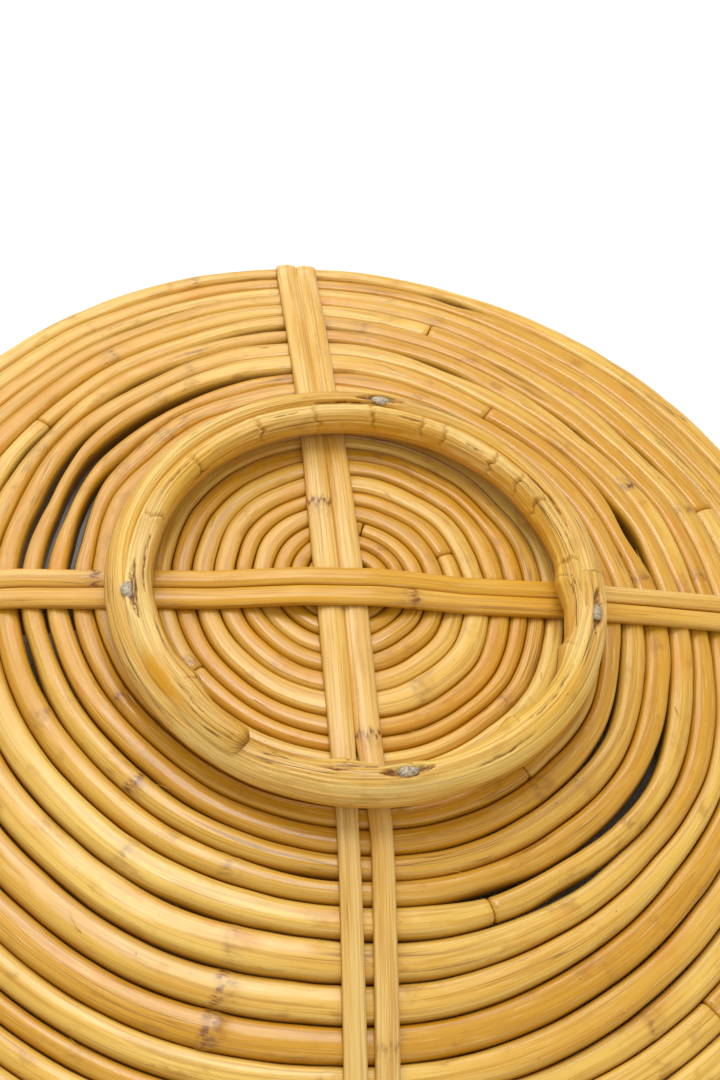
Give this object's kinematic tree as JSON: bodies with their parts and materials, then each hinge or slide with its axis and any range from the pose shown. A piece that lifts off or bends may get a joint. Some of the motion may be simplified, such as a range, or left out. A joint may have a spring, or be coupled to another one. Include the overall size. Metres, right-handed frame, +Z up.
{
  "type": "winnowing basket",
  "caption": "Shallow round tray basket of coiled cane with paired half-round staves and a nailed foot ring, lying mouth down.",
  "frame": {"origin": "bottom centre of the bounding box, with the basket mouth down on its rim", "axes": "+Z up through the foot ring, the east-west staves along X and the north-south staves along Y"},
  "size_m": [0.377, 0.3726, 0.0478],
  "materials": {
    "thin_coil_cane": "satin varnish over golden cane",
    "thick_coil_cane": "satin varnish over golden cane",
    "stave_cane": "satin varnish over split cane",
    "ring_cane": "satin varnish, paler where worn",
    "nail_steel": "dull weathered grey"
  },
  "bodies": {
    "root": {"coil_cane_01": "thin_coil_cane", "coil_cane_02": "thin_coil_cane", "coil_cane_03": "thin_coil_cane", "coil_cane_04": "thin_coil_cane", "coil_cane_05": "thin_coil_cane", "coil_cane_06": "thin_coil_cane", "coil_cane_07": "thin_coil_cane", "coil_cane_08": "thick_coil_cane", "coil_cane_09": "thick_coil_cane", "coil_cane_10": "thick_coil_cane", "coil_cane_11": "thick_coil_cane", "coil_cane_12": "thick_coil_cane", "coil_cane_13": "thick_coil_cane", "coil_cane_14": "thick_coil_cane", "coil_cane_15": "thick_coil_cane", "outer_stave_ew_south": "stave_cane", "outer_stave_ew_north": "stave_cane", "outer_stave_ns_west": "stave_cane", "outer_stave_ns_east": "stave_cane", "inner_stave_ew_south": "stave_cane", "inner_stave_ew_north": "stave_cane", "inner_stave_ns_west": "stave_cane", "inner_stave_ns_east": "stave_cane", "foot_ring": "ring_cane", "ring_nails": "nail_steel"}
  },
  "joints": []
}
